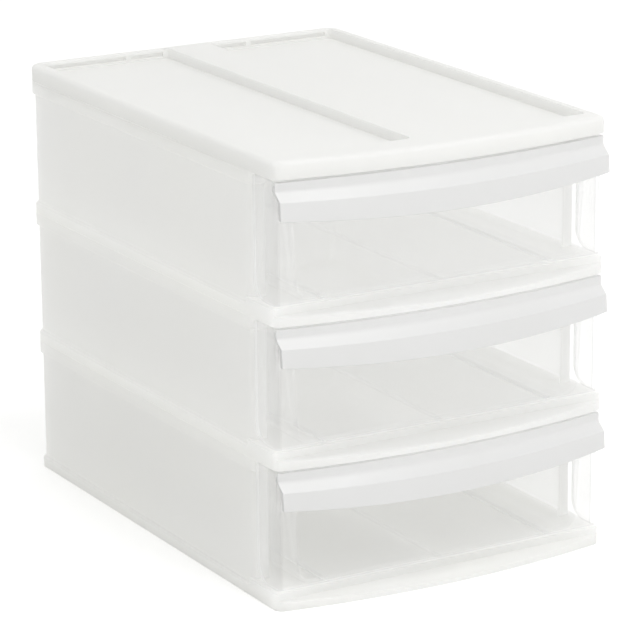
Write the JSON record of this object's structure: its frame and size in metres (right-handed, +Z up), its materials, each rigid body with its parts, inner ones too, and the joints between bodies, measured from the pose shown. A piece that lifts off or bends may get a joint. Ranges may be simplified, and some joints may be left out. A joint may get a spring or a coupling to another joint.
{
  "type": "stackable drawer box",
  "caption": "Milky plastic desk drawer tower: open frames stacked under a recessed top board, each with a clear pull-out drawer and a bowed handle.",
  "frame": {"origin": "middle of the whole unit in plan, on the surface it stands on", "axes": "+Z up, +Y to the back, so the drawers pull out along -Y and the width runs along X"},
  "size_m": [0.19, 0.281, 0.2248],
  "materials": {
    "milky_polypropylene": "moulded, translucent, satin",
    "clear_styrene": "moulded, clear, glossy"
  },
  "bodies": {
    "lower_frame": {"lower_frame": "milky_polypropylene"},
    "middle_frame": {"middle_frame": "milky_polypropylene"},
    "upper_frame": {"upper_frame": "milky_polypropylene"},
    "top_board": {"top_board": "milky_polypropylene"},
    "lower_drawer": {"lower_drawer": "clear_styrene"},
    "middle_drawer": {"middle_drawer": "clear_styrene"},
    "upper_drawer": {"upper_drawer": "clear_styrene"}
  },
  "joints": [
    {"name": "lower_drawer_slide", "type": "slide", "parent": "lower_frame", "child": "lower_drawer", "axis": [0, -1, 0], "range_m": [0, 0.2]},
    {"name": "middle_drawer_slide", "type": "slide", "parent": "middle_frame", "child": "middle_drawer", "axis": [0, -1, 0], "range_m": [0, 0.2]},
    {"name": "upper_drawer_slide", "type": "slide", "parent": "upper_frame", "child": "upper_drawer", "axis": [0, -1, 0], "range_m": [0, 0.2]},
    {"name": "middle_frame_lift", "type": "slide", "parent": "lower_frame", "child": "middle_frame", "axis": [0, 0, 1], "range_m": [0, 0.04]},
    {"name": "upper_frame_lift", "type": "slide", "parent": "middle_frame", "child": "upper_frame", "axis": [0, 0, 1], "range_m": [0, 0.04]},
    {"name": "top_board_lift", "type": "slide", "parent": "upper_frame", "child": "top_board", "axis": [0, 0, 1], "range_m": [0, 0.04]}
  ]
}
